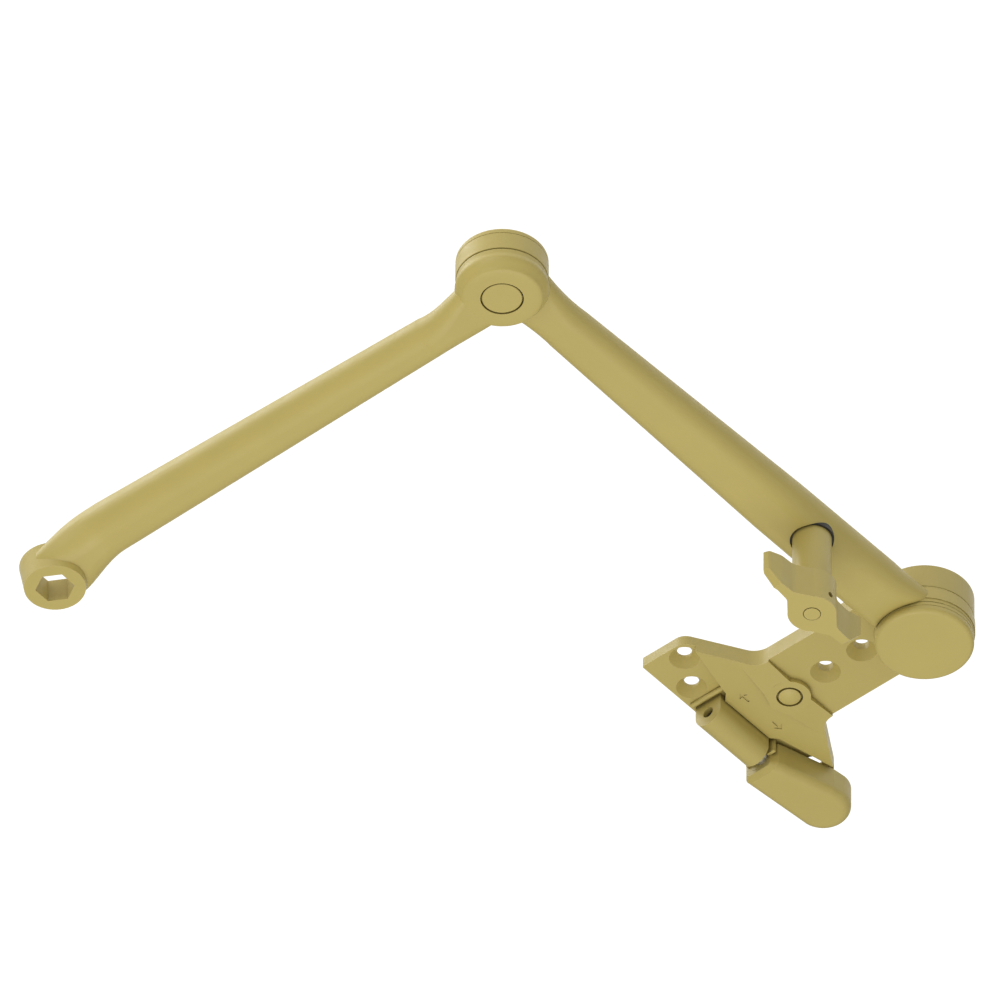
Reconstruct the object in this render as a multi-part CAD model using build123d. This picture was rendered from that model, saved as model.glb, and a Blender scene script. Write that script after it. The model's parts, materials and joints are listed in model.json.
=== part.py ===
from build123d import *
import os
from math import cos, pi, radians, sin, sqrt, tan

# Hold-open parallel arm of a surface door closer, with its soffit shoe. Millimetres.
# Origin: the forearm's pivot axis, at the mounting face of the shoe. +Z points up at the soffit.
# The shoe runs from the pivot towards -X. At rest the forearm points along -Y and the main arm along -X.

# ---------------------------------------------------------------- driving dimensions
# Arm lengths between axes
FOREARM_LENGTH = 300.0
MAIN_ARM_LENGTH = 266.5

# Clearances
RUN = 0.05              # radial clearance of a running fit
SLIDE = 0.1             # side clearance of a sliding fit
FACE_GAP = 0.1          # gap between thrust faces that turn on each other
CLEAR = 0.4             # gap between moving pieces that must not touch
CUT = 0.5               # how far a cutting tool runs past a face
EDGE = 0.4              # rounding on turned rims

# Soffit plate
PLATE_HALF_WIDTH = 22.9
PLATE_THICKNESS = 8.2
BOSS_HEIGHT = 13.4
PLATE_SCREWS = (37.4, 58.9)         # distances from the pivot
SCREW_HOLE_RADIUS = 3.5
SCREW_HEAD_RADIUS = 7.1
SCREW_HEAD_ANGLE = 82.0
TONGUE_HALF_WIDTH = 13.0            # half-lap under the stop body
TONGUE_LENGTH = 17.0
TONGUE_THICKNESS = 4.2

# Stop body
BODY_START = 73.8                   # step where the body begins
BODY_THICKNESS = 9.0
LEDGE_THICKNESS = 5.4
BODY_LENGTH = 122.8                 # pivot to the far edge of the ledges
LEDGE_HALF_WIDTH = 54.2
SHOULDER_START = 79.7               # where the flared side meets the plate's side line
FLARE_END = 98.7                    # where the flared side meets the end edge
SHOULDER_FILLET = 12.0
LEDGE_CORNER = 7.0
RAISED_EDGE_INNER = (102.3, 19.0)   # edge between the raised body and the ledge
RAISED_EDGE_OUTER = (94.0, 54.8)
TAB_SCREWS = ((104.3, 46.1), (114.0, 29.5))
FACET_THICKNESS = 10.7
CHEVRON = ((91.0, 0.0), (88.0, 9.0), (85.5, 30.4))
EAR_DISTANCE = 80.3
EAR_RADIUS = 9.8
RIVET_RECESS_RADIUS = 6.15
RIVET_HEAD_RADIUS = 5.05
RIVET_SHANK_RADIUS = 3.2
MARK_DISTANCE = 97.5                # engraved hand arrows
MARK_OFFSET = 11.7
MARK_LENGTH = 6.6
MARK_DEPTH = 0.4

# Stop housing, lug, rod and cushion spring
HOUSING_DISTANCE = 113.5
HOUSING_DEPTH = 13.3                # axis below the mounting face
HOUSING_RADIUS = 7.4
HOUSING_BACK = 18.4                 # far end of the barrel, on the -Y side
HOUSING_FRONT = 15.8                # end of the barrel that faces the lug
BRIDGE_HALF_WIDTH = 15.6            # raised face that runs into the barrel
RIB_OFFSET = 20.8
RIB_RADIUS = 1.3
SPRING_BORE_RADIUS = 5.3
SPRING_BORE_DEPTH = 26.4
PRELOAD_HOLE_RADIUS = 2.85
BARREL_RING_THICKNESS = 1.2
BARREL_RING_BITE = 0.6
FLANGE_THICKNESS = 1.4
ROD_RADIUS = 4.0
COLLAR_LENGTH = 6.0
SPRING_SEAT_THICKNESS = 2.0
ROD_SEAT = 14.0                     # depth of the rod's hole in the lug
LUG_PIN_RADIUS = 1.5
CUSHION_TRAVEL = 2.3
LUG_GAP = 2.4                       # space between the ledge and the lug
LUG_HEIGHT = 15.1
LUG_END_RADIUS = 12.8
LUG_END_CENTRE = (108.6, 57.6)
LUG_BASE_FRONT = 106.2
LUG_BASE_BACK = 125.0
LUG_WALL_END = (96.6, 51.0)
LUG_EDGE_FILLET = 4.5

# Pivot
STUD_RADIUS = 8.0
STUD_SEAT_DEPTH = 10.0
STUD_END_RADIUS = 6.8
DRUM_RADIUS = 14.0
BUSH_WALL = 2.5
EYE_RADIUS = 22.9
EYE_HEIGHT = 9.6
EYE_BAND_RADIUS = 23.3
EYE_BAND_HEIGHT = 5.8
WASHER_THICKNESS = 2.2
CAP_RADIUS = 22.8
CAP_HEIGHT = 3.9
CAP_EDGE = 2.2
RING_THICKNESS = 1.2
RING_WIDTH = 3.2

# Forearm bar: distance from the pivot, half width and half height of its oval section
BAR_TOP_GAP = 0.6                   # under the soffit plate
BAR_HEIGHT = 19.0
BAR_HALF_WIDTH = 15.3
BAR_END_HALF_WIDTH = 11.8
BAR_END_HEIGHT = 15.0
ELBOW_RING_RADIUS = 21.4

# Hold-open mechanism
HANDLE_DISTANCE = 83.8
HANDLE_OFFSET = 3.3
NOTCH_COUNT = 6
NOTCH_DEPTH = 1.5
SWING_MAX = 229.0
ROLLER_RADIUS = 3.6
ROLLER_HEIGHT = 3.6
ROLLER_PIN_RADIUS = 1.0
NOSE_RADIUS = 4.0
PLUNGER_TRAVEL = 2.0
FOLLOWER_TRAVEL = 3.0
POCKET_START = 40.0
POCKET_HALF_WIDTH = 6.0
POCKET_WINDOW_END = 74.0
COVER_THICKNESS = 1.8
COVER_HALF_WIDTH = 8.0
COVER_START = 33.5
COVER_SCREW_AT = 36.8
COVER_TONGUE = 2.0
TAIL_RADIUS = 2.2
PLUNGER_BODY = 7.6
DETENT_SPRING_LENGTH = 10.0

# Thumb turn
SHAFT_RADIUS = 9.05
HANDLE_HOLE_RADIUS = 10.15
HANDLE_BUSH_LENGTH = 3.4
HANDLE_BUSH_RECESS = 1.2
SHAFT_LENGTH = 29.0                 # visible below the forearm
CAM_LOW = 4.0
CAM_CAVITY_RADIUS = 8.2
JOURNAL_RADIUS = 3.5
HUB_RADIUS = 11.2
HUB_HEIGHT = 18.1
HUB_SOCKET_DEPTH = 2.0
SPIGOT_RADIUS = 3.75
WING_BREAK = 24.0
WING_REACH = 30.8
WING_TIP_HEIGHT = 10.3
SET_SCREW_RADIUS = 1.5
SET_SCREW_UP = 5.2

# Elbow
ELBOW_CAP_RADIUS = 21.3
ELBOW_CAP_HEIGHT = 3.3
ELBOW_CAP_EDGE = 1.6
ELBOW_BUSH_WALL = 2.4
ELBOW_WASHER_RADIUS = 17.0
ELBOW_WASHER_THICKNESS = 0.8
MAIN_EYE_RADIUS = 21.75
MAIN_EYE_HEIGHT = 11.8
MAIN_EYE_DOME = (8.5, 6.4)         # width and height of its rounded lower end
EYE_FLARE = 3.2                     # how much wider a bar gets where it joins an eye
STAKE_HEAD_RADIUS = 9.3
STAKE_RECESS_RADIUS = 10.0
STAKE_HEAD_HEIGHT = 2.4

# Main arm bar and pinion socket
MAIN_BAR_DROP = 18.4                # bar centre line below the forearm eye's top
MAIN_BAR_START = (10.1, 8.3)        # half width and half height near the elbow
MAIN_BAR_END = (12.9, 10.5)
SOCKET_TOP_DROP = 23.7              # socket top below the forearm eye's top
SOCKET_HEIGHT = 13.1
BEND_END_RISE = 1.9                 # end of the bar above the middle of the socket
SOCKET_TOP_RADIUS = 16.4
SOCKET_BOTTOM_RADIUS = 14.2
HEX_ACROSS_FLATS = 15.9

# ---------------------------------------------------------------- levels worked out from them
EYE_TOP = -BOSS_HEIGHT - FACE_GAP
EYE_BOTTOM = EYE_TOP - EYE_HEIGHT
EYE_MID = (EYE_TOP + EYE_BOTTOM) / 2
WASHER_TOP = EYE_BOTTOM - FACE_GAP
CAP_TOP = WASHER_TOP - WASHER_THICKNESS
CAP_BOTTOM = CAP_TOP - CAP_HEIGHT
BAR_TOP = -PLATE_THICKNESS - BAR_TOP_GAP
BAR_BOTTOM = BAR_TOP - BAR_HEIGHT
HOUSING_X = -HOUSING_DISTANCE
HOUSING_Z = -HOUSING_DEPTH
LUG_TOP = -LEDGE_THICKNESS - LUG_GAP
LUG_BOTTOM = LUG_TOP - LUG_HEIGHT
FLANGE_Y = HOUSING_FRONT + CUSHION_TRAVEL + 0.3
LUG_BASE_Y = FLANGE_Y + FLANGE_THICKNESS
SPRING_SEAT_Y = HOUSING_FRONT - SPRING_BORE_DEPTH
BARREL_RING_Y = HOUSING_FRONT - 1.2 - BARREL_RING_THICKNESS
COLLAR_FRONT = BARREL_RING_Y - FACE_GAP
COLLAR_BACK = COLLAR_FRONT - COLLAR_LENGTH
BUSH_OUTER = DRUM_RADIUS + RUN + BUSH_WALL
ROLLER_REST = DRUM_RADIUS - NOTCH_DEPTH + ROLLER_RADIUS + PLUNGER_TRAVEL
HANDLE_BUSH_TOP = BAR_BOTTOM + HANDLE_BUSH_RECESS + HANDLE_BUSH_LENGTH
POCKET_FLOOR = HANDLE_BUSH_TOP + SLIDE
POCKET_ROOF = BAR_TOP - 3.7
SLIDE_TOP = POCKET_ROOF - SLIDE
SLIDE_BOTTOM = POCKET_FLOOR + SLIDE
SLIDE_HALF = POCKET_HALF_WIDTH - SLIDE
PLUNGER_FRONT = POCKET_START + PLUNGER_TRAVEL + CLEAR
PLUNGER_BACK = PLUNGER_FRONT + PLUNGER_BODY
FOLLOWER_FRONT = PLUNGER_BACK + DETENT_SPRING_LENGTH
FOLLOWER_BACK = HANDLE_DISTANCE - CAM_LOW - SLIDE
COVER_TOP = BAR_TOP - CLEAR
COVER_BOTTOM = COVER_TOP - COVER_THICKNESS
HUB_TOP = BAR_BOTTOM - SHAFT_LENGTH
HUB_BOTTOM = HUB_TOP - HUB_HEIGHT
HANDLE_AT = (HANDLE_OFFSET, -HANDLE_DISTANCE)
ELBOW_AT = (0.0, -FOREARM_LENGTH)
ELBOW_CAP_BOTTOM = EYE_TOP + FACE_GAP
ELBOW_CAP_TOP = ELBOW_CAP_BOTTOM + ELBOW_CAP_HEIGHT
MAIN_EYE_TOP = EYE_BOTTOM - FACE_GAP
MAIN_EYE_BOTTOM = MAIN_EYE_TOP - MAIN_EYE_HEIGHT
MAIN_BAR_Z = EYE_TOP - MAIN_BAR_DROP
SOCKET_TOP = EYE_TOP - SOCKET_TOP_DROP
SOCKET_BOTTOM = SOCKET_TOP - SOCKET_HEIGHT
SOCKET_MID = (SOCKET_TOP + SOCKET_BOTTOM) / 2


# ---------------------------------------------------------------- helpers
def post(x, y, radius, low, high):
    """A cylinder along Z between two heights."""
    return Pos(x, y, (low + high) / 2) * Cylinder(radius, high - low)


def rod_y(x, z, radius, low, high):
    """A cylinder along Y between two Y positions."""
    return Pos(x, (low + high) / 2, z) * Rot(90, 0, 0) * Cylinder(radius, high - low)


def rod_x(y, z, radius, low, high):
    """A cylinder along X between two X positions."""
    return Pos((low + high) / 2, y, z) * Rot(0, 90, 0) * Cylinder(radius, high - low)


def block(x, y, z):
    """A box from its (low, high) pairs along X, Y and Z."""
    centre = Pos((x[0] + x[1]) / 2, (y[0] + y[1]) / 2, (z[0] + z[1]) / 2)
    return centre * Box(x[1] - x[0], y[1] - y[0], z[1] - z[0])


def prism(points, low, high, radius=0.0):
    """A plan outline with rounded corners, raised between two heights."""
    outline = FilletPolyline(*points, radius=radius, close=True)
    return Pos(0, 0, low) * extrude(make_face(outline), high - low)


def turned(x, y, radius, low, high):
    """A cylinder along Z with both rims rounded."""
    solid = post(x, y, radius, low, high)
    return fillet(solid.edges().filter_by(GeomType.CIRCLE), EDGE)


def ring(x, y, inner, outer, low, high):
    """A round tube along Z."""
    return post(x, y, outer, low, high) - post(x, y, inner, low - CUT, high + CUT)


def open_ring(x, y, inner, outer, low, high, gap):
    """A retaining ring with a gap that faces +X."""
    slot = block((x, x + outer + CUT), (y - gap / 2, y + gap / 2), (low - CUT, high + CUT))
    return ring(x, y, inner, outer, low, high) - slot


def countersunk_hole(x, y, face, depth):
    """The tool for a screw hole whose countersink opens in a face that looks down."""
    cone_depth = (SCREW_HEAD_RADIUS - SCREW_HOLE_RADIUS) / tan(radians(SCREW_HEAD_ANGLE / 2))
    cone = Pos(x, y, face + cone_depth / 2) * Cone(SCREW_HEAD_RADIUS, SCREW_HOLE_RADIUS, cone_depth)
    mouth = post(x, y, SCREW_HEAD_RADIUS, face - CUT, face)
    return cone + mouth + post(x, y, SCREW_HOLE_RADIUS, face, face + depth + CUT)


def mirrored_outline(points):
    """Closes an outline given on the +Y side with its mirror image, from end to end."""
    return list(points) + [(x, -y) for x, y in reversed(points)]


def oval(plane, half_width, half_height):
    """The arm's cross-section: an oval with a slightly flat top and bottom."""
    corner = 0.97 * min(half_width, half_height)
    return plane * RectangleRounded(2 * half_width, 2 * half_height, corner)


def coil(axis_plane, mean_radius, wire, length, turns):
    """A closed-end compression spring along a plane's normal, starting on that plane."""
    pitch = (length - wire) / turns
    path = Helix(pitch, length - wire, mean_radius)
    start = Plane(origin=path @ 0, z_dir=path % 0)
    wire_solid = sweep(start * Circle(wire / 2), path=path, is_frenet=True)
    return axis_plane * Pos(0, 0, wire / 2) * wire_solid


# ---------------------------------------------------------------- soffit shoe
def body_outline():
    """Plan of the stop body: flared sides that end in the two ledges."""
    half = [
        (-BODY_START, PLATE_HALF_WIDTH), (-SHOULDER_START, PLATE_HALF_WIDTH),
        (-FLARE_END, LEDGE_HALF_WIDTH), (-BODY_LENGTH, LEDGE_HALF_WIDTH),
    ]
    flare = (LEDGE_HALF_WIDTH - PLATE_HALF_WIDTH) / (FLARE_END - SHOULDER_START)
    turn = sqrt(1 + flare * flare) - 1
    shoulder = min(SHOULDER_FILLET, 0.95 * (SHOULDER_START - BODY_START) * flare / turn)
    radii = [0, shoulder, LEDGE_CORNER, 1.0]
    return mirrored_outline(half), radii + radii[::-1]


def soffit_plate():
    """Flat plate with the pivot boss and a tongue that laps under the stop body."""
    plate = block((-BODY_START, 0), (-PLATE_HALF_WIDTH, PLATE_HALF_WIDTH), (-PLATE_THICKNESS, 0))
    tongue = block(
        (-BODY_START - TONGUE_LENGTH, -BODY_START + CUT),
        (-TONGUE_HALF_WIDTH, TONGUE_HALF_WIDTH), (-TONGUE_THICKNESS, 0),
    )
    ear_seat = post(-EAR_DISTANCE, 0, EAR_RADIUS, -PLATE_THICKNESS - CUT, -TONGUE_THICKNESS)
    boss = post(0, 0, PLATE_HALF_WIDTH, -BOSS_HEIGHT, 0)
    boss = fillet(boss.edges().group_by(Axis.Z)[0], EDGE)
    solid = plate + tongue + boss
    solid -= ear_seat
    solid -= post(0, 0, STUD_RADIUS, -BOSS_HEIGHT - CUT, STUD_SEAT_DEPTH - BOSS_HEIGHT)
    solid -= post(-EAR_DISTANCE, 0, RIVET_SHANK_RADIUS, -TONGUE_THICKNESS - CUT, CUT)
    solid -= rivet_tail()
    for distance in PLATE_SCREWS:
        solid -= countersunk_hole(-distance, 0, -PLATE_THICKNESS, PLATE_THICKNESS)
    return solid


def rivet_tail():
    """Flared tail that the rivet forms in the mounting face."""
    depth = 1.8
    spread = RIVET_SHANK_RADIUS + depth
    return Pos(-EAR_DISTANCE, 0, -depth / 2) * Cone(RIVET_SHANK_RADIUS, spread, depth)


def facet_block():
    """Thicker centre of the body: a flat middle and two sides that slope to the general face."""
    (apex, _), (knee, knee_y), (end, end_y) = CHEVRON
    side = [(-BODY_START, end_y), (-end, end_y), (-knee, knee_y)]
    outline = side + [(-apex, 0)] + [(x, -y) for x, y in reversed(side)]
    plan = prism(outline, -FACET_THICKNESS - CUT, -BODY_THICKNESS + CUT)
    profile = [
        (-end_y, -BODY_THICKNESS), (-knee_y, -FACET_THICKNESS), (knee_y, -FACET_THICKNESS),
        (end_y, -BODY_THICKNESS), (end_y, -BODY_THICKNESS + CUT), (-end_y, -BODY_THICKNESS + CUT),
    ]
    face = Plane(origin=(-apex - CUT, 0, 0), x_dir=(0, 1, 0), z_dir=(1, 0, 0)) * make_face(
        Polyline(*profile, close=True))
    return plan & extrude(face, apex - BODY_START + 2 * CUT)


def hand_mark(side):
    """A plain arrow that points along Y, sunk in the body's face."""
    half = MARK_LENGTH / 2
    head = 2.4
    stem = 0.5
    arrow = [
        (-MARK_DISTANCE, side * (MARK_OFFSET + half)),
        (-MARK_DISTANCE - head, side * (MARK_OFFSET + half - head - stem)),
        (-MARK_DISTANCE - stem, side * (MARK_OFFSET + half - head)),
        (-MARK_DISTANCE - stem, side * (MARK_OFFSET - half)),
        (-MARK_DISTANCE + stem, side * (MARK_OFFSET - half)),
        (-MARK_DISTANCE + stem, side * (MARK_OFFSET + half - head)),
        (-MARK_DISTANCE + head, side * (MARK_OFFSET + half - head - stem)),
    ]
    return prism(arrow, -BODY_THICKNESS - CUT, -BODY_THICKNESS + MARK_DEPTH)


def stop_body():
    """Casting with the raised centre, the two screw ledges and the cushion housing."""
    points, radii = body_outline()
    ledges = prism(points, -LEDGE_THICKNESS, 0, radii)
    full = prism(points, -BODY_THICKNESS, 0, radii)
    inner_x, inner_y = RAISED_EDGE_INNER
    outer_x, outer_y = RAISED_EDGE_OUTER
    bridge_end = HOUSING_DISTANCE - HOUSING_RADIUS - CUT
    raised = prism(mirrored_outline([
        (-BODY_START, outer_y), (-outer_x, outer_y), (-inner_x, inner_y),
        (-bridge_end, BRIDGE_HALF_WIDTH),
    ]), -BODY_THICKNESS, 0)
    solid = ledges + (full & raised)
    solid += facet_block() & prism(points, -FACET_THICKNESS, 0, radii)
    solid += post(-EAR_DISTANCE, 0, EAR_RADIUS, -FACET_THICKNESS, -TONGUE_THICKNESS)
    solid += stop_housing()
    solid -= block(
        (-BODY_START - TONGUE_LENGTH - SLIDE, -BODY_START + 2 * CUT),
        (-TONGUE_HALF_WIDTH - SLIDE, TONGUE_HALF_WIDTH + SLIDE), (-TONGUE_THICKNESS, CUT),
    ) & block((-BODY_LENGTH, -BODY_START), (-outer_y, outer_y), (-BODY_THICKNESS, CUT))
    solid -= post(-EAR_DISTANCE, 0, RIVET_RECESS_RADIUS, -FACET_THICKNESS - CUT, -FACET_THICKNESS + 2.0)
    solid -= post(-EAR_DISTANCE, 0, RIVET_SHANK_RADIUS, -FACET_THICKNESS - CUT, CUT)
    for distance, offset in TAB_SCREWS:
        for side in (-1, 1):
            solid -= countersunk_hole(-distance, side * offset, -LEDGE_THICKNESS, LEDGE_THICKNESS)
    for side in (-1, 1):
        solid -= hand_mark(side)
    return solid - spring_bore() - barrel_ring_groove()


def stop_housing():
    """Barrel for the cushion spring, on a saddle that joins it to the ledge, and a rib beside it."""
    low = -HOUSING_BACK
    high = HOUSING_FRONT
    barrel = rod_y(HOUSING_X, HOUSING_Z, HOUSING_RADIUS, low, high)
    saddle = block(
        (HOUSING_X - HOUSING_RADIUS, HOUSING_X + HOUSING_RADIUS), (low, high),
        (HOUSING_Z, -LEDGE_THICKNESS + CUT),
    )
    rib = rod_x(
        -RIB_OFFSET, -LEDGE_THICKNESS - RIB_RADIUS / 2, RIB_RADIUS,
        HOUSING_X - HOUSING_RADIUS, -RAISED_EDGE_INNER[0],
    )
    return barrel + saddle + rib


def spring_bore():
    """Spring bore open at the lug's end, and the smaller screw hole through the other end."""
    bore = rod_y(HOUSING_X, HOUSING_Z, SPRING_BORE_RADIUS, SPRING_SEAT_Y, HOUSING_FRONT + CUT)
    hole = rod_y(HOUSING_X, HOUSING_Z, PRELOAD_HOLE_RADIUS, -HOUSING_BACK - CUT, SPRING_SEAT_Y + CUT)
    return bore + hole


def barrel_ring_groove():
    """Groove for the internal snap ring near the barrel's open end."""
    return rod_y(
        HOUSING_X, HOUSING_Z, SPRING_BORE_RADIUS + BARREL_RING_BITE,
        BARREL_RING_Y, BARREL_RING_Y + BARREL_RING_THICKNESS,
    )


def barrel_ring():
    """Internal snap ring that keeps the rod's collar in the barrel. Its gap faces down."""
    low = BARREL_RING_Y
    high = BARREL_RING_Y + BARREL_RING_THICKNESS
    outer = SPRING_BORE_RADIUS + BARREL_RING_BITE
    solid = rod_y(HOUSING_X, HOUSING_Z, outer, low, high)
    solid -= rod_y(HOUSING_X, HOUSING_Z, ROD_RADIUS + SLIDE, low - CUT, high + CUT)
    return solid - block(
        (HOUSING_X - 1.5, HOUSING_X + 1.5), (low - CUT, high + CUT), (HOUSING_Z - outer - CUT, HOUSING_Z))


def body_rivet():
    """Domed rivet that joins the plate and the stop body."""
    seat = -FACET_THICKNESS + 2.0
    dome_rise = 1.3
    dome_radius = (RIVET_HEAD_RADIUS ** 2 + dome_rise ** 2) / (2 * dome_rise)
    head = post(-EAR_DISTANCE, 0, RIVET_HEAD_RADIUS, -FACET_THICKNESS - dome_rise, seat)
    head &= Pos(-EAR_DISTANCE, 0, dome_radius - FACET_THICKNESS - dome_rise) * Sphere(dome_radius)
    return head + post(-EAR_DISTANCE, 0, RIVET_SHANK_RADIUS, seat, 0) + rivet_tail()


def cushion_spring():
    """Heavy coil spring that the stop rod presses on."""
    mean = SPRING_BORE_RADIUS - 1.3
    wire = 1.8
    low = SPRING_SEAT_Y + SPRING_SEAT_THICKNESS + RUN
    high = COLLAR_BACK - RUN
    axis = Plane(origin=(HOUSING_X, low, HOUSING_Z), x_dir=(1, 0, 0), z_dir=(0, 1, 0))
    return coil(axis, mean, wire, high - low, 6)


def spring_seat():
    """Disc between the cushion spring and the preload screw."""
    return rod_y(
        HOUSING_X, HOUSING_Z, SPRING_BORE_RADIUS - SLIDE, SPRING_SEAT_Y,
        SPRING_SEAT_Y + SPRING_SEAT_THICKNESS,
    )


def preload_screw():
    """Socket set screw behind the spring seat, well inside its hole."""
    length = 5.0
    low = SPRING_SEAT_Y - length
    screw = rod_y(HOUSING_X, HOUSING_Z, PRELOAD_HOLE_RADIUS, low, SPRING_SEAT_Y)
    key = Plane(origin=(HOUSING_X, low, HOUSING_Z), x_dir=(1, 0, 0), z_dir=(0, 1, 0))
    return screw - extrude(key * RegularPolygon(1.45, 6), 2.5)


# ---------------------------------------------------------------- stop lug
def lug_outline():
    """Plan of the lug: a straight tongue with a round nose."""
    centre_x, centre_y = -LUG_END_CENTRE[0], LUG_END_CENTRE[1]
    r = LUG_END_RADIUS
    front = (-LUG_WALL_END[0], LUG_WALL_END[1])
    start = (-LUG_BASE_FRONT, LUG_BASE_Y)
    back = (-LUG_BASE_BACK, LUG_BASE_Y)
    nose = ThreePointArc(
        (centre_x + r, centre_y), (centre_x, centre_y + r), (centre_x - r, centre_y))
    edges = [
        Line(start, front), Line(front, (centre_x + r, centre_y)), nose,
        Line((centre_x - r, centre_y), back), Line(back, start),
    ]
    return make_face(edges)


def stop_lug():
    """Forged lug that the forearm strikes, drilled for the rod and its roll pin."""
    solid = Pos(0, 0, LUG_BOTTOM) * extrude(lug_outline(), LUG_HEIGHT)
    lower_edges = [
        e for e in solid.edges().group_by(Axis.Z)[0]
        if e.center().Y > LUG_BASE_Y + 1
    ]
    solid = fillet(lower_edges, LUG_EDGE_FILLET)
    base_edge = [
        e for e in solid.edges().group_by(Axis.Z)[0] if abs(e.center().Y - LUG_BASE_Y) < 0.01
    ]
    solid = chamfer(base_edge, 2.4)
    solid -= rod_y(HOUSING_X, HOUSING_Z, ROD_RADIUS, LUG_BASE_Y - CUT, LUG_BASE_Y + ROD_SEAT)
    return solid - lug_pin()


def lug_pin():
    """Roll pin through the rod, driven in from the lug's hidden top face."""
    return post(
        HOUSING_X, LUG_BASE_Y + ROD_SEAT / 2, LUG_PIN_RADIUS, HOUSING_Z - ROD_RADIUS - 2.0, LUG_TOP - 0.2)


def lug_flange():
    """Thrust plate on the rod, whose top slides under the ledge and keeps the lug upright."""
    half = HOUSING_RADIUS + 0.9
    plate = block(
        (HOUSING_X - half, HOUSING_X + half), (FLANGE_Y, LUG_BASE_Y),
        (HOUSING_Z - 1.5, -LEDGE_THICKNESS - FACE_GAP),
    )
    throat = ROD_RADIUS + RUN
    slot = block(
        (HOUSING_X - throat, HOUSING_X + throat), (FLANGE_Y - CUT, LUG_BASE_Y + CUT),
        (HOUSING_Z - 1.5 - CUT, HOUSING_Z),
    )
    return plate - slot - rod_y(HOUSING_X, HOUSING_Z, throat, FLANGE_Y - CUT, LUG_BASE_Y + CUT)


def stop_rod():
    """Rod pressed in the lug, with the collar that pushes the cushion spring."""
    rod = rod_y(HOUSING_X, HOUSING_Z, ROD_RADIUS, COLLAR_BACK, LUG_BASE_Y + ROD_SEAT)
    collar = rod_y(HOUSING_X, HOUSING_Z, SPRING_BORE_RADIUS - SLIDE, COLLAR_BACK, COLLAR_FRONT)
    return rod + collar - lug_pin()


# ---------------------------------------------------------------- shoe pivot
def hex_post(radius, low, high):
    """A hexagonal length on the pivot axis."""
    return Pos(0, 0, low) * extrude(RegularPolygon(radius, 6), high - low)


def pivot_stud():
    """Stud pressed in the boss: round seat, hexagon for the drum, then the journal for ring and cap."""
    seat = post(0, 0, STUD_RADIUS, -BOSS_HEIGHT, STUD_SEAT_DEPTH - BOSS_HEIGHT)
    drive = hex_post(STUD_RADIUS, WASHER_TOP, -BOSS_HEIGHT)
    end = post(0, 0, STUD_END_RADIUS, CAP_BOTTOM + 1.2, WASHER_TOP)
    groove = ring(0, 0, STUD_END_RADIUS - 1.0, STUD_RADIUS, CAP_TOP - RING_THICKNESS, CAP_TOP)
    return seat + drive + end - groove


def hold_open_drum():
    """Drum keyed on the stud. The forearm turns on it, and its notches take the detent roller."""
    low = WASHER_TOP
    high = -BOSS_HEIGHT
    drum = post(0, 0, DRUM_RADIUS, low, high) - hex_post(STUD_RADIUS, low - CUT, high + CUT)
    notch_radius = ROLLER_RADIUS + CLEAR
    notch_at = DRUM_RADIUS - NOTCH_DEPTH + ROLLER_RADIUS
    for k in range(NOTCH_COUNT):
        angle = radians(-90 + k * SWING_MAX / (NOTCH_COUNT - 1))
        drum -= post(notch_at * cos(angle), notch_at * sin(angle), notch_radius, low - CUT, high + CUT)
    return drum


def pivot_washer():
    """Thrust washer under the forearm's eye."""
    solid = turned(0, 0, CAP_RADIUS, CAP_TOP, WASHER_TOP)
    return solid - post(0, 0, STUD_END_RADIUS + RUN, CAP_TOP - CUT, WASHER_TOP + CUT)


def pivot_ring():
    """Retaining ring in the stud's groove, under the washer."""
    inner = STUD_END_RADIUS - 1.0 + RUN
    return open_ring(0, 0, inner, inner + RING_WIDTH, CAP_TOP - RING_THICKNESS, CAP_TOP, 5.0)


def pivot_cap():
    """Dust cap pressed on the stud's end."""
    solid = post(0, 0, CAP_RADIUS, CAP_BOTTOM, CAP_TOP)
    solid = fillet(solid.edges().group_by(Axis.Z)[0], CAP_EDGE)
    solid = fillet(solid.edges().group_by(Axis.Z)[-1], EDGE)
    solid -= post(0, 0, STUD_END_RADIUS + RING_WIDTH, CAP_TOP - RING_THICKNESS - 0.3, CAP_TOP + CUT)
    return solid - post(0, 0, STUD_END_RADIUS, CAP_BOTTOM + 1.2, CAP_TOP + CUT)


# ---------------------------------------------------------------- forearm
def forearm_section(distance, half_width, half_height, z):
    """One cross-section of the forearm, looking towards the elbow."""
    plane = Plane(origin=(0, -distance, z), x_dir=(1, 0, 0), z_dir=(0, -1, 0))
    return oval(plane, half_width, half_height)


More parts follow.
